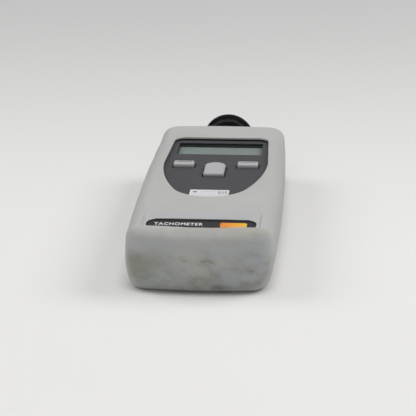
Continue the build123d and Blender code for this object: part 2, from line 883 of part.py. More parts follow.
# ---------------------------------------------------------------- measuring wheel
with BuildPart() as wheel_hub:
    with BuildSketch(Plane.YZ):
        with BuildLine():
            Polyline(
                (along(hub_near), axis_z),
                (along(hub_near), axis_z + hub_radius),
                (along(wheel_near + 1.2), axis_z + hub_radius + 0.8),
                (along(wheel_near + 1.2), axis_z + tyre_inner_radius - 1.6),
                (along(wheel_near + 0.3), axis_z + tyre_inner_radius - 1.2),
                (along(wheel_near + 0.3), axis_z + tyre_inner_radius),
                (along(wheel_far - 0.3), axis_z + tyre_inner_radius),
                (along(wheel_far - 0.3), axis_z + tyre_inner_radius - 1.2),
                (along(wheel_far - 1.2), axis_z + tyre_inner_radius - 1.6),
                (along(wheel_far - 1.2), axis_z + hub_radius + 0.8),
                (along(overall_length - 0.6), axis_z + hub_radius),
                (along(overall_length), axis_z + hub_radius - 0.6),
                (along(overall_length), axis_z),
                close=True,
            )
        make_face()
    revolve(axis=Axis((0, 0, axis_z), (0, 1, 0)))
    with BuildSketch(across(hub_near)):
        Circle(shaft_radius + running_gap)
    extrude(amount=201.4 - hub_near, mode=Mode.SUBTRACT)
save(wheel_hub.part, "wheel_hub")

with BuildPart() as wheel_tyre:
    with BuildSketch(across(wheel_near)):
        Circle(wheel_radius)
        Circle(tyre_inner_radius, mode=Mode.SUBTRACT)
    extrude(amount=wheel_far - wheel_near)
    outer_edges = wheel_tyre.edges().filter_by(GeomType.CIRCLE).sort_by(SortBy.RADIUS)[-2:]
    fillet(outer_edges, 0.9)
save(wheel_tyre.part, "wheel_tyre")
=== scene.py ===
import json
from math import cos, pi, radians, sin

import bpy
import numpy as np
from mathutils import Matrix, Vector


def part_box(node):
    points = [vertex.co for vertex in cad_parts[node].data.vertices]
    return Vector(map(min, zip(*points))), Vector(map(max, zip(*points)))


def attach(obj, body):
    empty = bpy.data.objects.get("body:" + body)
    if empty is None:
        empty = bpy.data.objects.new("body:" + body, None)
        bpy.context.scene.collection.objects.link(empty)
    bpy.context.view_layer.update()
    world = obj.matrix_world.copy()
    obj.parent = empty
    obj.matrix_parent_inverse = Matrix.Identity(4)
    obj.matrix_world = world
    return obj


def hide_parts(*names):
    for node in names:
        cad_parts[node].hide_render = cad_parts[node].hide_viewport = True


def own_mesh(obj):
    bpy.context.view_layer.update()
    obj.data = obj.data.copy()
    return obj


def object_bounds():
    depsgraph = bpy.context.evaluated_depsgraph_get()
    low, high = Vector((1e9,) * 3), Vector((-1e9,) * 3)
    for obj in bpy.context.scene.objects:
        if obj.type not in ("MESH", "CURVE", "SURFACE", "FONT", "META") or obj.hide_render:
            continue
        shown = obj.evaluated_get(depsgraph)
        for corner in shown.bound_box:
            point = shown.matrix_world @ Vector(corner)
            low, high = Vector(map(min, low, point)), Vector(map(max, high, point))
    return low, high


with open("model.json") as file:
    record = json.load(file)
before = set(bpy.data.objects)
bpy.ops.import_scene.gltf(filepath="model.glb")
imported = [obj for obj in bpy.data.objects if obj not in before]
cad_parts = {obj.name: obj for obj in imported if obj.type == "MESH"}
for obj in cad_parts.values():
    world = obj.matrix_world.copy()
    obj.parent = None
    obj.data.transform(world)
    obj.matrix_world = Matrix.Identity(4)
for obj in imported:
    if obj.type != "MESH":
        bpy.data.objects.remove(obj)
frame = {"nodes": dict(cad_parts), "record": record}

import openvdb

# Handheld tachometer in a rubber protective cover. Every length in this script is in metres in
# the frame of the CAD model, except inside the cover's shape functions, which work in millimetres:
# x across, d the distance from the cover's near end, z up from the surface it lies on.
MM = 0.001
cad_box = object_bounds()
cover_low, cover_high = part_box("protective_cover")
NEAR_Y = cover_low.y
COVER_LENGTH = (cover_high.y - cover_low.y) / MM
COVER_HALF_WIDTH = cover_high.x / MM
COVER_HEIGHT = cover_high.z / MM
WAIST = 17.0
AXIS_Z = 16.5
SIDE_LEAN = 0.4
SCOOP_DEPTH = 1.3
SCOOP_HALF_WIDTH = 28.4
SCOOP_FAR = 31.5
SCOOP_DEEPEST = 21.0


def along(distance):
    """Y in metres of a place this many millimetres from the cover's near end."""
    return NEAR_Y + distance * MM


# ---------------------------------------------------------------- camera
def make_camera():
    """Camera in front of the near end, raised and looking down at the face."""
    camera_data = bpy.data.cameras.new("camera")
    camera_data.sensor_width = 36
    camera_data.lens = 142.8
    camera = bpy.data.objects.new("camera", camera_data)
    bpy.context.scene.collection.objects.link(camera)
    camera.location = (0.06595, -0.81088, 0.29673)
    camera.rotation_euler = (radians(70.498), radians(0.556), radians(4.737))
    camera_data.clip_start = 0.01
    camera_data.clip_end = 50
    bpy.context.scene.camera = camera


make_camera()


# ---------------------------------------------------------------- shader helpers
class Graph:
    """A material's node tree, with one short call for each kind of node it uses."""

    def __init__(self, name):
        self.material = bpy.data.materials.new(name)
        self.material.use_nodes = True
        self.tree = self.material.node_tree
        self.tree.nodes.clear()
        self.output = self.tree.nodes.new("ShaderNodeOutputMaterial")
        self.shader = self.tree.nodes.new("ShaderNodeBsdfPrincipled")
        self.tree.links.new(self.shader.outputs["BSDF"], self.output.inputs["Surface"])
        coordinates = self.tree.nodes.new("ShaderNodeTexCoord")
        self.place = coordinates.outputs["Object"]
        geometry = self.tree.nodes.new("ShaderNodeNewGeometry")
        self.pointiness = geometry.outputs["Pointiness"]

    def node(self, kind, **settings):
        made = self.tree.nodes.new(kind)
        for key, value in settings.items():
            setattr(made, key, value)
        return made

    def put(self, socket, value):
        """Links an output, or sets a plain value."""
        if isinstance(value, bpy.types.NodeSocket):
            self.tree.links.new(value, socket)
        else:
            socket.default_value = value

    def math(self, operation, a, b=0.0, clamp=False):
        made = self.node("ShaderNodeMath", operation=operation, use_clamp=clamp)
        for socket, value in zip(made.inputs, (a, b)):
            self.put(socket, value)
        return made.outputs[0]

    def times(self, product, *others):
        """All the values multiplied."""
        for other in others:
            product = self.math("MULTIPLY", product, other)
        return product

    def scaled(self, scale, vector=None):
        made = self.node("ShaderNodeMapping")
        self.put(made.inputs["Vector"], vector or self.place)
        made.inputs["Scale"].default_value = scale
        return made.outputs["Vector"]

    def noise(self, scale, detail=4.0, rough=0.55, vector=None, distortion=0.0):
        made = self.node("ShaderNodeTexNoise")
        self.put(made.inputs["Vector"], vector or self.place)
        made.inputs["Scale"].default_value = scale
        made.inputs["Detail"].default_value = detail
        made.inputs["Roughness"].default_value = rough
        made.inputs["Distortion"].default_value = distortion
        return made.outputs["Fac"]

    def streaks(self, scale, detail, rough, distortion=0.0):
        """Noise with its own scale along each axis."""
        return self.noise(1, detail, rough, self.scaled(scale), distortion)

    def ramp(self, value, low, high, out_low=0.0, out_high=1.0):
        """Smooth step of a value from low to high."""
        made = self.node("ShaderNodeMapRange", interpolation_type="SMOOTHSTEP")
        self.put(made.inputs["Value"], value)
        for key, number in (
            ("From Min", low),
            ("From Max", high),
            ("To Min", out_low),
            ("To Max", out_high),
        ):
            made.inputs[key].default_value = number
        return made.outputs["Result"]

    def split(self, vector):
        made = self.node("ShaderNodeSeparateXYZ")
        self.put(made.inputs[0], vector)
        return made.outputs

    def mix(self, factor, a, b):
        made = self.node("ShaderNodeMix", data_type="RGBA")
        self.put(made.inputs["Factor"], factor)
        for socket, value in ((made.inputs["A"], a), (made.inputs["B"], b)):
            linked = isinstance(value, bpy.types.NodeSocket)
            self.put(socket, value if linked else (*value, 1))
        return made.outputs["Result"]

    def bump(self, height, distance, strength=1.0):
        made = self.node("ShaderNodeBump")
        made.inputs["Distance"].default_value = distance
        made.inputs["Strength"].default_value = strength
        self.put(made.inputs["Height"], height)
        return made.outputs["Normal"]

    def finish(self, color, rough, normal=None, **fixed):
        """Connects the surface. Values in fixed are the same all over it."""
        self.put(self.shader.inputs["Base Color"], color)
        self.put(self.shader.inputs["Roughness"], rough)
        if normal is not None:
            self.put(self.shader.inputs["Normal"], normal)
        for key, value in fixed.items():
            self.shader.inputs[key.replace("_", " ")].default_value = value
        return self.material


def inside(g, value, low, high, soft):
    """1 where value lies between low and high, with soft edges."""
    rising = g.ramp(value, low - soft, low + soft)
    falling = g.ramp(value, high - soft, high + soft, 1.0, 0.0)
    return g.times(rising, falling)


# ---------------------------------------------------------------- materials
def face_tones(g, color, x, y, z):
    """A cooler, cleaner scoop, warm grime along the near lip, and faint patches."""
    half_width = g.math("ABSOLUTE", x)
    scoop = g.times(
        inside(g, y, along(12), along(SCOOP_FAR - 2), 0.0035),
        g.ramp(half_width, 0.0235, 0.0285, 1.0, 0.0),
        g.ramp(z, 0.029, 0.031),
    )
    color = g.mix(g.times(scoop, 0.55), color, (0.395, 0.405, 0.440))
    lip = g.times(
        inside(g, y, along(2.5), along(8.5), 0.0015),
        g.ramp(z, 0.028, 0.031),
        g.ramp(g.streaks((60, 60, 60), 4, 0.6), 0.35, 0.6),
    )
    color = g.mix(g.times(lip, 0.55), color, (0.34, 0.315, 0.265))
    patches = g.ramp(g.streaks((34, 34, 34), 4, 0.55, 0.3), 0.52, 0.75)
    return g.mix(g.times(patches, 0.22), color, (0.40, 0.37, 0.30))


def near_end_stains(g, color, x, y, z):
    """Handling dirt, stains, cleaner patches and bench scuffs on the near end, and painted shade
    along its bottom edge.
    """
    near = g.ramp(y, along(2.0), along(9), 1.0, 0.0)

    low = g.ramp(z, 0.002, 0.030, 1.0, 0.45)
    smear = g.ramp(g.streaks((52, 52, 74), 8, 0.70, 0.15), 0.36, 0.66)
    dirt = g.times(near, low, g.math("ADD", smear, 0.5))
    dirt = g.math("MULTIPLY", dirt, 0.60, clamp=True)
    color = g.mix(dirt, color, (0.205, 0.224, 0.198))

    stain = g.ramp(g.streaks((60, 60, 100), 7, 0.62, 0.3), 0.50, 0.72)
    stain = g.times(stain, g.ramp(z, 0.019, 0.026, 0.8, 0.0), near)
    color = g.mix(stain, color, (0.170, 0.172, 0.130))

    thumb = g.times(near, g.ramp(x, -0.034, -0.016, 1.0, 0.0), inside(g, z, 0.007, 0.021, 0.004))
    color = g.mix(g.times(thumb, 0.7), color, (0.215, 0.215, 0.165))

    foot = g.times(near, g.ramp(z, 0.0015, 0.0085, 1.0, 0.0))
    scuff = g.ramp(g.streaks((110, 20, 110), 6, 0.65, 0.2), 0.34, 0.60)
    left_rub = inside(g, x, -0.0085, -0.001, 0.003)
    right_rub = inside(g, x, 0.006, 0.014, 0.003)
    rubbed = g.times(g.math("MAXIMUM", left_rub, right_rub), 0.8)
    scuff = g.times(scuff, g.math("ADD", rubbed, 0.2))
    color = g.mix(g.times(foot, scuff), color, (0.085, 0.080, 0.060))

    clean = g.ramp(g.streaks((56, 56, 84), 5, 0.6), 0.50, 0.66)
    band = inside(g, z, 0.0215, 0.0275, 0.003)
    clean = g.times(g.math("MAXIMUM", clean, g.times(band, 0.55)), g.times(near, 0.65))
    color = g.mix(clean, color, (0.345, 0.370, 0.390))

    # painted shade: a near-black band along the bottom edge, where it curves under towards the
    # floor
    bottom_edge_shade = g.times(near, g.ramp(z, 0.0, 0.0022, 0.8, 0.0))
    return g.mix(bottom_edge_shade, color, (0.06, 0.06, 0.05))


def painted_opening_shade(g, color, x, y, z):
    """Painted shade: the rubber's walls round the window and the slot are painted black next to
    the housing.
    """
    black = (0.012, 0.012, 0.012)
    half_width = g.math("ABSOLUTE", x)
    window = g.times(
        inside(g, y, along(50), along(153), 0.002),
        inside(g, z, 0.0270, 0.0313, 0.0003),
        g.ramp(half_width, 0.0285, 0.0300, 1.0, 0.0),
    )
    color = g.mix(window, color, black)
    opening = g.times(
        inside(g, y, along(5), along(24), 0.001),
        inside(g, z, 0.0270, 0.0305, 0.0002),
        g.ramp(half_width, 0.0262, 0.0270, 1.0, 0.0),
    )
    return g.mix(opening, color, black)


def cover_rubber():
    """Matt light grey rubber, dirty where it is handled."""
    g = Graph("cover_rubber")
    x, y, z = g.split(g.place)
    mottled = g.noise(24, 5, 0.6)
    fine = g.noise(420, 3, 0.6)
    color = g.mix(mottled, (0.395, 0.395, 0.388), (0.480, 0.480, 0.472))
    color = g.mix(g.times(fine, 0.2), color, (0.36, 0.36, 0.352))
    color = face_tones(g, color, x, y, z)
    color = near_end_stains(g, color, x, y, z)
    # painted highlight: lighter on the sharp convex edges
    edge_highlight = g.ramp(g.pointiness, 0.51, 0.56)
    color = g.mix(g.times(edge_highlight, 0.3), color, (0.52, 0.52, 0.51))
    # painted shade: black on the rubber's walls round the window and the slot
    color = painted_opening_shade(g, color, x, y, z)
    rough = g.ramp(mottled, 0.3, 0.7, 0.60, 0.76)
    scratches = g.streaks((900, 60, 300), 2, 0.5)
    height = g.math("ADD", g.times(fine, 0.7), g.times(scratches, 0.3))
    return g.finish(color, rough, g.bump(height, 0.00006, 0.8), Specular_IOR_Level=0.25)


def housing_plastic():
    """Dark grey moulded plastic with a fine spark-eroded grain and a little dust."""
    g = Graph("housing_plastic")
    _, y, z = g.split(g.place)
    grain = g.noise(1500, 2, 0.6)
    cloud = g.noise(60, 4, 0.5)
    color = g.mix(cloud, (0.058, 0.058, 0.062), (0.078, 0.078, 0.083))
    dust = g.ramp(g.streaks((240, 240, 240), 5, 0.7), 0.60, 0.78)
    color = g.mix(g.times(dust, 0.15), color, (0.18, 0.18, 0.175))
    # painted shade: the walls of the openings in the face are painted near-black, in place of the
    # shade inside them
    recess_shade = inside(g, z, 0.0265, 0.0299, 0.0002)
    recess_shade = g.times(recess_shade, inside(g, y, along(60), along(148), 0.001))
    color = g.mix(recess_shade, color, (0.006, 0.006, 0.007))
    rough = g.ramp(cloud, 0.3, 0.7, 0.50, 0.64)
    return g.finish(color, rough, g.bump(grain, 0.00003, 0.7), Specular_IOR_Level=0.16)


def plain_plastic(name, dark, light, rough_low, rough_high, grain=900, depth=0.00002, **fixed):
    """Moulded plastic or rubber with a soft colour drift, a fine grain and handling marks."""
    g = Graph(name)
    cloud = g.noise(90, 4, 0.55)
    color = g.mix(cloud, dark, light)
    marks = g.streaks((1200, 90, 400), 3, 0.5)
    rough = g.ramp(g.noise(150, 4, 0.6), 0.3, 0.7, rough_low, rough_high)
    height = g.math("ADD", g.noise(grain, 2, 0.6), g.times(marks, 0.3))
    return g.finish(color, rough, g.bump(height, depth, 0.7), **fixed)


def key_plastic():
    """Light grey key: a dark groove across the side keys, and shade at the foot of each key."""
    g = Graph("key_plastic")
    x, _, z = g.split(g.place)
    cloud = g.noise(120, 4, 0.55)
    color = g.mix(cloud, (0.375, 0.378, 0.388), (0.435, 0.438, 0.448))
    side = g.ramp(g.math("ABSOLUTE", x), 0.009, 0.010)
    groove = g.times(side, inside(g, z, 0.03188, 0.03208, 0.00006))
    color = g.mix(g.times(groove, 0.4), color, (0.12, 0.12, 0.12))
    foot = g.ramp(z, 0.0299, 0.0315, 1.0, 0.0)
    color = g.mix(foot, color, (0.10, 0.10, 0.10))
    rough = g.ramp(cloud, 0.3, 0.7, 0.46, 0.60)
    bump = g.bump(g.noise(1300, 2, 0.6), 0.00002, 0.6)
    return g.finish(color, rough, bump, Specular_IOR_Level=0.25)


def lcd_panel():
    """Unlit grey-green display with dark borders at its sides, and painted shadow along its far
    edge.
    """
    g = Graph("lcd_panel")
    x, y, _ = g.split(g.place)
    shade = g.ramp(x, -0.024, 0.024)
    color = g.mix(shade, (0.222, 0.272, 0.256), (0.242, 0.268, 0.264))
    cloud = g.noise(70, 3, 0.5)
    color = g.mix(g.times(cloud, 0.10), color, (0.17, 0.21, 0.20))
    side_border = g.ramp(g.math("ABSOLUTE", x), 0.0214, 0.0220, 0.0, 0.5)
    color = g.mix(side_border, color, (0.08, 0.10, 0.095))
    window_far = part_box("display_window")[1].y
    # painted shadow: the far edge, under the far wall of the opening, is painted black
    far_wall_shadow = g.ramp(y, window_far - 0.0030, window_far - 0.0026)
    color = g.mix(far_wall_shadow, color, (0.008, 0.009, 0.009))
    rough = g.ramp(cloud, 0.3, 0.7, 0.34, 0.42)
    return g.finish(color, rough, None, Specular_IOR_Level=0.06)


def clear_window():
    """Clear pane with faint smears."""
    g = Graph("window_clear")
    smears = g.noise(140, 4, 0.6)
    color = g.mix(smears, (0.20, 0.23, 0.22), (0.28, 0.32, 0.30))
    rough = g.ramp(smears, 0.3, 0.8, 0.10, 0.18)
    return g.finish(color, rough, None, Alpha=0.06, Specular_IOR_Level=0.3)


def brushed(name, dark, light, rough_low=0.24, rough_high=0.38, stretch=(60, 4000, 60)):
    """Turned, ground or rolled metal with fine tool marks."""
    g = Graph(name)
    marks = g.streaks(stretch, 3, 0.6)
    tone = g.noise(160, 4, 0.6)
    color = g.mix(tone, dark, light)
    rough = g.ramp(g.noise(300, 4), 0.3, 0.7, rough_low, rough_high)
    return g.finish(color, rough, g.bump(marks, 0.000015, 0.6), Metallic=1.0)


def badge_film():
    """Amber film, graded from orange to yellow."""
    g = Graph("badge_film")
    x = g.split(g.place)["X"]
    low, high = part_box("name_badge")
    color = g.mix(g.ramp(x, low.x, high.x), (0.80, 0.24, 0.02), (0.84, 0.44, 0.03))
    color = g.mix(g.times(g.noise(500), 0.12), color, (0.5, 0.2, 0.05))
    rough = g.ramp(g.noise(300), 0.3, 0.7, 0.35, 0.45)
    return g.finish(color, rough, g.bump(g.noise(1500), 0.00001, 0.5))


def tyre_rubber():
    """Black rubber, with a painted highlight greying its sharp edges."""
    g = Graph("tyre_rubber")
    cloud = g.noise(220, 4, 0.6)
    color = g.mix(cloud, (0.004, 0.005, 0.005), (0.008, 0.009, 0.009))
    # painted highlight: grey on the sharp edges
    edge_highlight = g.ramp(g.pointiness, 0.53, 0.60)
    color = g.mix(g.times(edge_highlight, 0.8), color, (0.10, 0.10, 0.10))
    rough = g.ramp(cloud, 0.3, 0.7, 0.50, 0.66)
    bump = g.bump(g.noise(1400, 3, 0.6), 0.00003, 0.8)
    return g.finish(color, rough, bump, Specular_IOR_Level=0.06)


def across_label(g, node):
    """How far a point is across and up a label, each from 0 to 1."""
    x, y, _ = g.split(g.place)
    low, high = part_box(node)
    across = g.math("DIVIDE", g.math("SUBTRACT", x, low.x), high.x - low.x)
    up = g.math("DIVIDE", g.math("SUBTRACT", y, low.y), high.y - low.y)
    return across, up


def printed_box(g, across, up, sides, soft):
    """1 inside the printed box with these left, right, lower and upper sides."""
    left, right, lower, upper = sides
    return g.times(inside(g, across, left, right, soft), inside(g, up, lower, upper, soft))


def printed_rules(g, across, up, rules):
    """Grey lines that stand for printed text. Each has a height, two ends and a depth of grey."""
    half, soft = 0.02, 0.011
    marks = 0.0
    for height, left, right, depth in rules:
        line = printed_box(g, across, up, (left, right, height - half, height + half), soft)
        marks = g.math("MAXIMUM", marks, g.times(line, depth))
    return marks


def printed_dots(g, size):
    """Random square dots, for a block code that says nothing."""
    snapped = g.node("ShaderNodeVectorMath", operation="SNAP")
    g.put(snapped.inputs[0], g.place)
    snapped.inputs[1].default_value = (size, size, 1.0)
    grid = g.node("ShaderNodeTexWhiteNoise", noise_dimensions="3D")
    g.put(grid.inputs["Vector"], snapped.outputs[0])
    return g.math("GREATER_THAN", grid.outputs["Value"], 0.5)


def printed_spot(g, across, up):
    """Small dark spot at the left of the sticker."""
    wide = g.times(g.math("SUBTRACT", across, 0.13), 16)
    tall = g.times(g.math("SUBTRACT", up, 0.72), 10)
    squares = g.math("ADD", g.math("POWER", wide, 2), g.math("POWER", tall, 2))
    return g.ramp(g.math("SQRT", squares), 0.8, 1.1, 0.85, 0.0)


def sticker_paper():
    """White paper label with a dark spot, grey rules and a small block code."""
    g = Graph("sticker_paper")
    across, up = across_label(g, "asset_sticker")
    color = g.mix(g.noise(260, 4), (0.60, 0.60, 0.62), (0.68, 0.68, 0.70))
    yellowed = g.ramp(g.noise(90, 4), 0.55, 0.75)
    color = g.mix(g.times(yellowed, 0.12), color, (0.5, 0.48, 0.4))
    rules = (
        (0.76, 0.28, 0.68, 0.50),
        (0.58, 0.28, 0.60, 0.30),
        (0.36, 0.08, 0.92, 0.25),
        (0.20, 0.08, 0.80, 0.25),
    )
    marks = g.math("MAXIMUM", printed_spot(g, across, up), printed_rules(g, across, up, rules))
    code = printed_box(g, across, up, (0.76, 0.95, 0.46, 0.84), 0.006)
    code = g.times(code, printed_dots(g, 0.0004))
    marks = g.math("MAXIMUM", marks, g.times(code, 0.7))
    bar = printed_box(g, across, up, (0.725, 0.745, 0.46, 0.84), 0.005)
    marks = g.math("MAXIMUM", marks, g.times(bar, 0.9))
    color = g.mix(marks, color, (0.10, 0.10, 0.11))
    rough = g.ramp(g.noise(300), 0.3, 0.7, 0.45, 0.6)
    return g.finish(color, rough, g.bump(g.noise(900), 0.00001, 0.4))


def rating_paper():
    """Silver-grey label in the back: a framed table of grey rules and a block code."""
    g = Graph("rating_paper")
    across, up = across_label(g, "rating_label")
    color = g.mix(g.noise(160, 4), (0.42, 0.42, 0.43), (0.52, 0.52, 0.53))
    rubbed = g.ramp(g.noise(60, 6, 0.65), 0.52, 0.72)
    color = g.mix(g.times(rubbed, 0.35), color, (0.60, 0.60, 0.60))
    frame_line = g.math(
        "SUBTRACT",
        printed_box(g, across, up, (0.04, 0.96, 0.04, 0.96), 0.004),
        printed_box(g, across, up, (0.055, 0.945, 0.057, 0.943), 0.004),
    )
    rules = [(0.86, 0.12, 0.62, 0.8), (0.76, 0.12, 0.50, 0.6)]
    rules += [(0.60 - 0.09 * row, 0.12, 0.58 + 0.07 * (row % 3), 0.55) for row in range(5)]
    marks = g.math("MAXIMUM", frame_line, printed_rules(g, across, up, rules))
    code = printed_box(g, across, up, (0.70, 0.90, 0.70, 0.92), 0.004)
    code = g.times(code, printed_dots(g, 0.0009))
    marks = g.math("MAXIMUM", marks, code)
    color = g.mix(g.times(marks, 0.8), color, (0.06, 0.06, 0.06))
    rough = g.ramp(rubbed, 0.0, 1.0, 0.35, 0.5)
    return g.finish(color, rough, g.bump(g.noise(700), 0.00001, 0.4))


MATERIALS = {
    "cover_rubber": cover_rubber(),
    "housing_plastic": housing_plastic(),
    "screw_steel": brushed("screw_steel", (0.40, 0.40, 0.41), (0.56, 0.56, 0.57)),
    "plate_film": plain_plastic(
        "plate_film", (0.028, 0.028, 0.030), (0.038, 0.038, 0.041), 0.36, 0.48,
        Specular_IOR_Level=0.12,
    ),
    "badge_film": badge_film(),
    "sticker_paper": sticker_paper(),
    "rating_paper": rating_paper(),
    "window_clear": clear_window(),
    "lcd_panel": lcd_panel(),
    "black_plastic": plain_plastic(
        "black_plastic", (0.010, 0.011, 0.012), (0.020, 0.021, 0.022), 0.42, 0.56,
        Specular_IOR_Level=0.25,
    ),
    "strip_elastomer": plain_plastic(
        "strip_elastomer", (0.10, 0.10, 0.10), (0.35, 0.35, 0.34), 0.6, 0.75
    ),
    "board_green": plain_plastic(
        "board_green", (0.012, 0.085, 0.030), (0.020, 0.130, 0.050), 0.30, 0.42
    ),
    "chip_black": plain_plastic(
        "chip_black", (0.018, 0.018, 0.018), (0.035, 0.035, 0.035), 0.5, 0.65
    ),
    "passive_ceramic": plain_plastic(
        "passive_ceramic", (0.36, 0.27, 0.17), (0.52, 0.42, 0.30), 0.45, 0.6
    ),
    "key_plastic": key_plastic(),
    "dome_silicone": plain_plastic(
        "dome_silicone", (0.52, 0.52, 0.50), (0.68, 0.68, 0.66), 0.5, 0.65
    ),
    "cell_can": plain_plastic(
        "cell_can", (0.05, 0.06, 0.09), (0.08, 0.09, 0.13), 0.25, 0.38
    ),
    "contact_brass": brushed("contact_brass", (0.62, 0.56, 0.42), (0.78, 0.71, 0.55)),
    "spring_steel": brushed("spring_steel", (0.50, 0.50, 0.51), (0.66, 0.66, 0.67)),
    "nose_metal": brushed("nose_metal", (0.42, 0.42, 0.43), (0.55, 0.55, 0.56)),
    "diode_resin": plain_plastic(
        "diode_resin", (0.30, 0.03, 0.03), (0.42, 0.05, 0.05), 0.08, 0.16
    ),
    "lens_glass": plain_plastic(
        "lens_glass", (0.10, 0.13, 0.15), (0.14, 0.17, 0.19), 0.04, 0.08
    ),
    "bush_bronze": brushed("bush_bronze", (0.46, 0.30, 0.14), (0.60, 0.41, 0.20)),
    "shaft_steel": brushed("shaft_steel", (0.50, 0.50, 0.51), (0.64, 0.64, 0.65)),
    "disc_metal": brushed("disc_metal", (0.70, 0.70, 0.70), (0.84, 0.84, 0.84), 0.15, 0.25),
    "tyre_rubber": tyre_rubber(),
}


def dress_cad_nodes():
    """Gives every CAD node the procedural material of its slot."""
    for row in frame["record"]["subparts"]:
        node = frame["nodes"][row["node"]]
        node.data.materials.clear()
        node.data.materials.append(MATERIALS[row["material_slot"]])


dress_cad_nodes()


# ---------------------------------------------------------------- mesh helper
def new_piece(name, points, faces):
    """Smooth-shaded mesh object in the scene."""
    mesh = bpy.data.meshes.new(name)
    mesh.from_pydata(points, [], faces)
    mesh.update()
    piece = bpy.data.objects.new(name, mesh)
    bpy.context.scene.collection.objects.link(piece)
    mesh.shade_smooth()
    return piece


# ---------------------------------------------------------------- protective cover
# The cover is one moulded body, so it is described as a signed distance in millimetres and
# meshed from that. Negative is inside the rubber.


def rounded(a, b, radius):
    """Where both a and b are negative, with a round edge of this radius."""
    corner = np.hypot(np.maximum(a + radius, 0), np.maximum(b + radius, 0))
    return np.minimum(np.maximum(a + radius, b + radius), 0) + corner - radius


def smooth(value, low, high):
    """Smooth step from 0 at low to 1 at high."""
    t = np.clip((value - low) / (high - low), 0, 1)
    return t * t * (3 - 2 * t)


def cover_plan(x, d, below):
    """Plan of the cover: bowed sides, and ends that bow more towards the bottom.

    below runs from 0 at the waist to 1 at the bottom.
    """
    middle, near_half, far_half = 85.0, 34.6, 33.8
    near_reach, far_reach = 85.0, 89.0
    near_pinch = 1.3 * ((d - middle) / near_reach) ** 2
    far_pinch = 2.3 * ((d - middle) / far_reach) ** 2
    pinch = np.where(d < middle, near_pinch, far_pinch)
    side = np.abs(x) - (COVER_HALF_WIDTH - SIDE_LEAN - pinch)
    near = (2.3 + 1.6 * below) * (x / near_half) ** 2 + 2.0 * below**2.3 - d
    far = d - (COVER_LENGTH - 1.6 * (x / far_half) ** 2)
    near_radius = 8.5 + 1.5 * below
    far_radius = 9.5
    near_part = rounded(side, near, near_radius)
    return np.where(d < middle, near_part, rounded(side, far, far_radius))


def scoop_drop(x, d):
    """How far the thumb scoop lies below the cover's face."""
    corner_radius = 5.0
    slope = smooth(-d, -SCOOP_FAR, -SCOOP_DEEPEST)
    past_side = np.maximum(np.abs(x) - (SCOOP_HALF_WIDTH - corner_radius), 0)
    past_end = np.maximum(d - (SCOOP_FAR - corner_radius), 0)
    reach = SCOOP_HALF_WIDTH - corner_radius + np.hypot(past_side, past_end)
    walls = smooth(SCOOP_HALF_WIDTH - reach, -0.2, 1.1)
    near_wall = smooth(d, 8.0, 12.0)
    return SCOOP_DEPTH * (0.3 + 0.7 * slope) * walls * near_wall


def cover_top(x, d):
    """Height of the cover's face: a slight crown, lower at the very ends."""
    crown = 0.25 * (x / 36) ** 2
    droop = 0.15 * smooth(d, 166, 177) + 0.5 * smooth(-d, -10, 0)
    return COVER_HEIGHT - 0.02 - crown - droop - scoop_drop(x, d)


def shield(x, d):
    """Face window: straight far edge, flared sides and a blunt round tip.

    Below the waist, a flank arc on each side runs into the tip's arc, with no kink.
    """
    waist, far_edge, tip, half, tip_radius = 107.0, 150.0, 51.2, 27.0, 19.5
    side_taper, corner_radius = 1.7 / 42, 5.0
    tip_centre = tip + tip_radius
    rise = waist - tip_centre
    flank_radius = (rise**2 + half**2 - tip_radius**2) / (2 * (half - tip_radius))
    flank_x = half - flank_radius
    flank = np.hypot(np.abs(x) - flank_x, d - waist) - flank_radius
    point = np.hypot(x, d - tip_centre) - tip_radius
    in_tip = (d < tip_centre) & (np.abs(x) * rise < (tip_centre - d) * -flank_x)
    lower = np.where(in_tip, point, flank)
    side = np.abs(x) - (half - side_taper * (d - waist))
    upper = rounded(side, d - far_edge, corner_radius)
    return np.where(d < waist, lower, upper)


def slot(x, d):
    """Opening over the name plate, bowed on its near edge."""
    half, near_edge, end_drop, far_edge, middle = 25.8, 7.4, 3.2, 22.5, 15.0
    side = np.abs(x) - half
    near = near_edge + end_drop * (x / half) ** 2 - d
    near_part = rounded(side, near, 3.6)
    return np.where(d < middle, near_part, rounded(side, d - far_edge, 5.0))


def box_plan(x, d, half, near, far, near_radius, far_radius):
    """Plain plan with its own corner radius at each end."""
    side = np.abs(x) - half
    near_part = rounded(side, near - d, near_radius)
    return np.where(d < (near + far) / 2, near_part, rounded(side, d - far, far_radius))


def cover_outside(x, d, z):
    """Outer shape: draft towards the top and bottom, a rolled top edge and a tight bottom one."""
    below = np.maximum(WAIST - z, 0) / WAIST
    above = np.maximum(z - WAIST, 0) / (COVER_HEIGHT - WAIST)
    inset = 3.3 * below**2.3 + 0.5 * below**8 + 0.9 * above**1.5
    # hand-moulded rubber is never quite true
    wobble = 0.06 + 0.03 * (np.sin(0.21 * x + 0.13 * d) + np.sin(0.17 * d - 0.11 * x + 0.3 * z))
    lean = SIDE_LEAN + 0.9 * below * smooth(-d, -90, -10)
    wall = cover_plan(x + lean, d, below) + inset + wobble
    top_radius = 4.2 + 2.8 * smooth(d, 3, 16) - 2.4 * smooth(d, 150, 170)
    outer = rounded(wall, z - cover_top(x, d), top_radius)
    return rounded(outer, -z, 2.6)


def housing_space(x, d, z):
    """Space that the housing fills, with the housing's draft above and below its parting line."""
    lower_draft, upper_draft = 0.2126, 0.0349
    drop = np.maximum(AXIS_Z - z, 0) * lower_draft + np.maximum(z - AXIS_Z, 0) * upper_draft
    top, bottom = 30.4, 2.4
    plan = box_plan(x, d, half=31.1, near=3.4, far=170.6, near_radius=8.1, far_radius=14.1)
    space = rounded(plan + drop, z - top, 1.5)
    return rounded(space, bottom - z, 0.8)


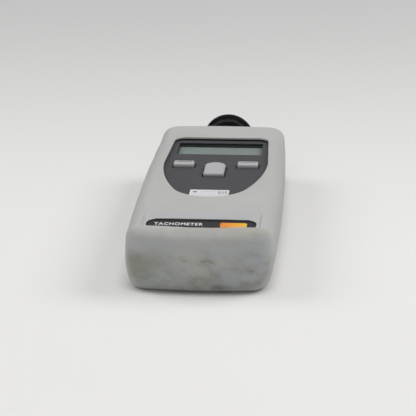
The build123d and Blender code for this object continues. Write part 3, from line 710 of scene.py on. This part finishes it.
def cover_distance(x, d, z):
    """The whole cover: its outside, less the housing and the four openings."""
    face_floor, back_depth = 28.0, 6.0
    nose_radius, nose_start = 8.5, 165.0
    back_plan = box_plan(x, d, half=24.5, near=9.5, far=160.0, near_radius=6.0, far_radius=6.0)
    back = np.maximum(back_plan, z - back_depth)
    nose = np.maximum(np.hypot(x, z - AXIS_Z) - nose_radius, nose_start - d)
    body = np.maximum(cover_outside(x, d, z), -housing_space(x, d, z))
    body = rounded(body, -np.maximum(shield(x, d), face_floor - z), 0.4)
    body = rounded(body, -np.maximum(slot(x, d), face_floor - z), 0.45)
    body = rounded(body, -back, 0.8)
    return rounded(body, -nose, 0.8)


def mesh_from_distance(name, distance, low, high, step):
    """Closed quad mesh of the surface where distance is zero. low and high are in millimetres."""
    counts = [int((b - a) / step) + 5 for a, b in zip(low, high)]
    axes = [a - 2 * step + step * np.arange(n) for a, n in zip(low, counts)]
    x, d, z = np.meshgrid(*axes, indexing="ij")
    grid = openvdb.FloatGrid(3 * step)
    grid.copyFromArray(distance(x, d, z).astype(np.float32))
    points, quads = grid.convertToQuads()
    points = np.array([axis[0] for axis in axes]) + step * points.astype(float)
    # two steps along the slope of the distance bring each point onto the surface
    nudge = 0.02
    for _ in range(2):
        x, d, z = points.T
        value = distance(x, d, z)
        slope = np.stack(
            [
                distance(x + nudge, d, z) - distance(x - nudge, d, z),
                distance(x, d + nudge, z) - distance(x, d - nudge, z),
                distance(x, d, z + nudge) - distance(x, d, z - nudge),
            ],
            axis=1,
        )
        slope /= 2 * nudge
        size = np.maximum((slope**2).sum(axis=1), 0.25)
        shift = np.clip(value / size, -0.3 * step, 0.3 * step)
        points -= slope * shift[:, None]
    points = points * MM
    points[:, 1] += NEAR_Y
    return new_piece(name, points.tolist(), quads.tolist())


def make_cover():
    """The rubber cover as a single skin that rides on the instrument."""
    step = 0.6
    half = COVER_HALF_WIDTH
    cover = mesh_from_distance(
        "cover_skin", cover_distance, (-half, 0, 0), (half, COVER_LENGTH, COVER_HEIGHT), step
    )
    cover.data.set_sharp_from_angle(angle=radians(50))
    cover.data.materials.append(MATERIALS["cover_rubber"])
    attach(cover, "instrument")
    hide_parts("protective_cover")


make_cover()


# ---------------------------------------------------------------- key domes
def dome_profile(foot, tall):
    """Section of a dome, as radius and height: up its outside, then down its inside."""
    wall = 0.0007
    tip = 0.0004
    return [
        (foot, 0),
        (foot, 0.2 * tall),
        (foot - 0.0003, 0.26 * tall),
        (0.66 * foot, 0.86 * tall),
        (0.55 * foot, 0.98 * tall),
        (0.45 * foot, tall),
        (tip, tall),
        (tip, tall - wall),
        (0.40 * foot, tall - wall),
        (0.66 * foot - wall, 0.70 * tall),
        (foot - wall, 0),
    ]


def revolved(name, centre, profile, sides=40):
    """Closed ring of a profile turned about an upright axis through centre."""
    points = []
    for step in range(sides):
        angle = 2 * pi * step / sides
        for radius, rise in profile:
            across, away = radius * cos(angle), radius * sin(angle)
            points.append((centre[0] + across, centre[1] + away, centre[2] + rise))
    count = len(profile)
    faces = []
    for step in range(sides):
        here, there = step * count, (step + 1) % sides * count
        for k in range(count):
            after = (k + 1) % count
            faces.append((here + k, there + k, there + after, here + after))
    return new_piece(name, points, faces)


def make_dome_skin(key):
    """Silicone dome under a key: a hollow cone."""
    node = key + "_dome"
    low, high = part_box(node)
    foot = (high.x - low.x) / 2
    tall = high.z - low.z
    anchor = ((low.x + high.x) / 2, (low.y + high.y) / 2, low.z)
    dome = revolved(node + "_skin", anchor, dome_profile(foot, tall))
    dome.data.set_sharp_from_angle(angle=radians(40))
    dome.data.materials.append(MATERIALS["dome_silicone"])
    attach(dome, "instrument")
    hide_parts(node)
    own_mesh(dome)


for key in ("left", "measure", "right"):
    make_dome_skin(key)


# ---------------------------------------------------------------- name plate lettering
def make_lettering():
    """Generic printed word on the name plate, as a thin raised mesh."""
    text_left, text_width, baseline = -0.0224, 0.0232, along(15.6)
    tallness, lift = 1.15, 0.00003
    plate_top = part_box("name_plate")[1].z
    curve = bpy.data.curves.new("plate_lettering", "FONT")
    curve.body = "TACHOMETER"
    curve.size = 0.0042
    curve.extrude = 0.00002
    curve.offset = 0.00007
    curve.space_character = 1.10
    text = bpy.data.objects.new("plate_lettering", curve)
    bpy.context.scene.collection.objects.link(text)
    bpy.context.view_layer.update()
    mesh = bpy.data.meshes.new_from_object(text)
    bpy.data.objects.remove(text)
    across = [vertex.co.x for vertex in mesh.vertices]
    stretch = text_width / (max(across) - min(across))
    for vertex in mesh.vertices:
        vertex.co.x = vertex.co.x * stretch + text_left
        vertex.co.y = vertex.co.y * tallness + baseline
        vertex.co.z = vertex.co.z + plate_top + lift
    piece = bpy.data.objects.new("plate_lettering", mesh)
    bpy.context.scene.collection.objects.link(piece)
    ink = plain_plastic("lettering_ink", (0.66, 0.66, 0.66), (0.76, 0.76, 0.76), 0.4, 0.5)
    mesh.materials.clear()
    mesh.materials.append(ink)
    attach(piece, "instrument")


make_lettering()


# ---------------------------------------------------------------- stage
def floor_paper():
    """Plain pale paper, with painted shade darkening it towards the back."""
    g = Graph("floor_paper")
    y = g.split(g.place)["Y"]
    color = g.mix(g.noise(6, 3), (0.745, 0.74, 0.73), (0.765, 0.76, 0.75))
    # painted shade: the paper darkens with distance towards the back, in place of the light's
    # falloff
    color = g.mix(g.ramp(y, -0.05, 0.50), color, (0.61, 0.61, 0.61))
    return g.finish(color, 0.85, None, Specular_IOR_Level=0.1)


def make_floor():
    half = 4.0
    mesh = bpy.data.meshes.new("floor")
    corners = [(-half, -half, 0), (half, -half, 0), (half, half, 0), (-half, half, 0)]
    mesh.from_pydata(corners, [], [(0, 1, 2, 3)])
    mesh.materials.append(floor_paper())
    floor = bpy.data.objects.new("floor", mesh)
    bpy.context.scene.collection.objects.link(floor)


def make_world():
    world = bpy.data.worlds.new("studio")
    bpy.context.scene.world = world
    world.use_nodes = True
    background = world.node_tree.nodes["Background"]
    background.inputs["Color"].default_value = (1.0, 0.995, 0.98, 1)
    background.inputs["Strength"].default_value = 0.325


def area_light(name, location, target, size, power):
    """Square area light that faces the target. size is in metres and power in watts."""
    light = bpy.data.lights.new(name, "AREA")
    light.shape = "SQUARE"
    light.size = size
    light.energy = power
    lamp = bpy.data.objects.new(name, light)
    bpy.context.scene.collection.objects.link(lamp)
    lamp.location = location
    direction = lamp.location - target
    lamp.rotation_euler = direction.to_track_quat("Z", "Y").to_euler()


def make_stage():
    """Pale floor, even world light, and four soft lights round the middle of the object."""
    make_floor()
    make_world()
    middle = (cad_box[0] + cad_box[1]) / 2
    area_light("front_light", (0.10, -0.45, 1.5), middle, size=0.6, power=7.9)
    area_light("fill_light", (0.0, -1.5, 0.5), middle, size=0.7, power=2.0)
    area_light("left_light", (-1.15, 0.10, 1.15), middle, size=0.9, power=7.3)
    area_light("right_light", (1.15, 0.20, 1.15), middle, size=0.9, power=10.8)
    bpy.context.scene.view_settings.view_transform = "Standard"


make_stage()
